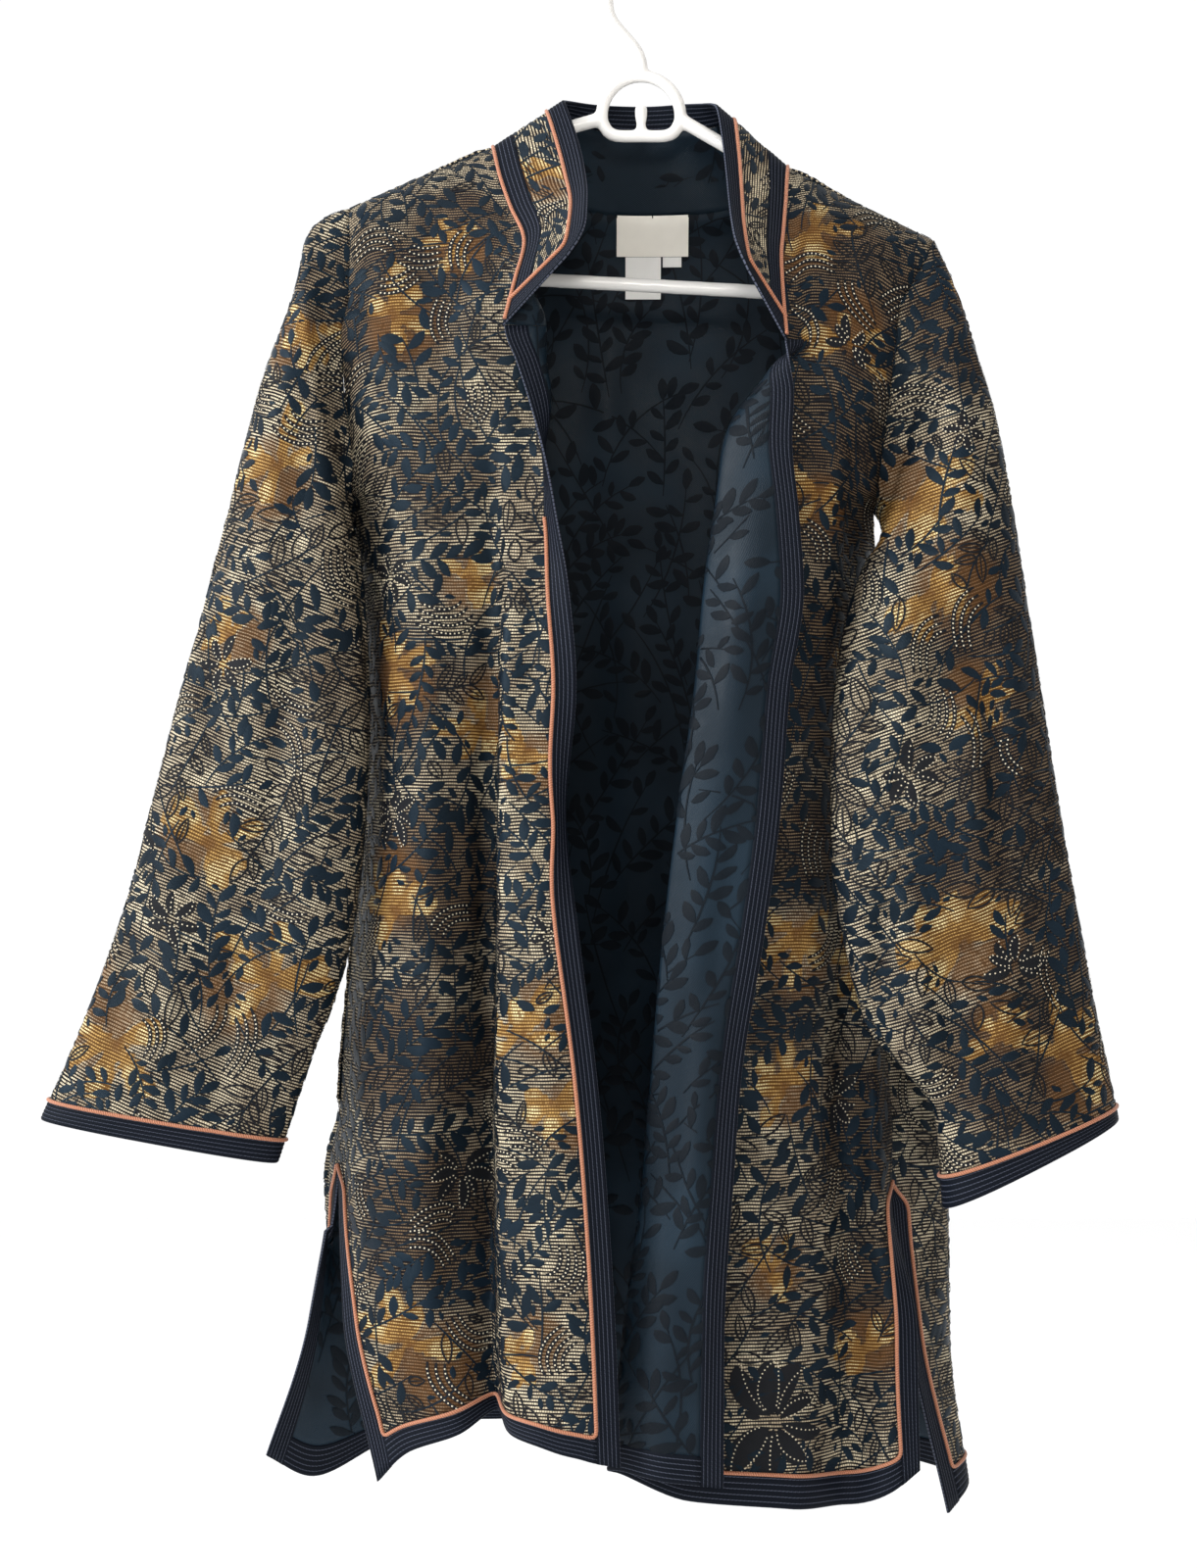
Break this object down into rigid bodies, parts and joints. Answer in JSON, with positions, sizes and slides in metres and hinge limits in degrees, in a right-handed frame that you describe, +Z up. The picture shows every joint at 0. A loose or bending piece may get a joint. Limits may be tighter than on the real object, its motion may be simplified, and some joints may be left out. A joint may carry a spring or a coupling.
{
  "type": "long stand-collar jacket on a clothes hanger",
  "caption": "Long open-front jacket with a stand collar, banded and corded edges, side slits and wide sleeves, hung on a moulded clothes hanger.",
  "frame": {"origin": "the underside of the top of the hanger's hook, where a clothes rod carries it", "axes": "+Z up; +X to the right of somebody who looks at the garment's front; -Y out of the garment's front"},
  "size_m": [0.7174, 0.2358, 1.0628],
  "materials": {
    "brocade": "figured jacquard cloth, gold, brown and slate leaves on a ribbed ground",
    "band": "dark navy ribbed band with rows of stitching",
    "piping": "coral corded piping",
    "label": "smooth woven label, blank",
    "tape": "white woven tape, blank",
    "plastic": "white glossy moulded plastic"
  },
  "bodies": {
    "root": {"back": "brocade", "left_front": "brocade", "right_front": "brocade", "left_sleeve": "brocade", "right_sleeve": "brocade", "collar": "brocade", "neck_band": "band", "collar_band": "band", "left_front_edge_band": "band", "right_front_edge_band": "band", "left_front_hem_band": "band", "right_front_hem_band": "band", "back_hem_band": "band", "left_front_slit_band": "band", "right_front_slit_band": "band", "back_left_slit_band": "band", "back_right_slit_band": "band", "left_cuff_band": "band", "right_cuff_band": "band", "collar_piping": "piping", "neck_piping": "piping", "left_front_piping": "piping", "right_front_piping": "piping", "back_piping": "piping", "left_cuff_piping": "piping", "right_cuff_piping": "piping", "neck_label": "label", "care_label": "tape", "size_tab": "tape", "hanger": "plastic"}
  },
  "joints": []
}
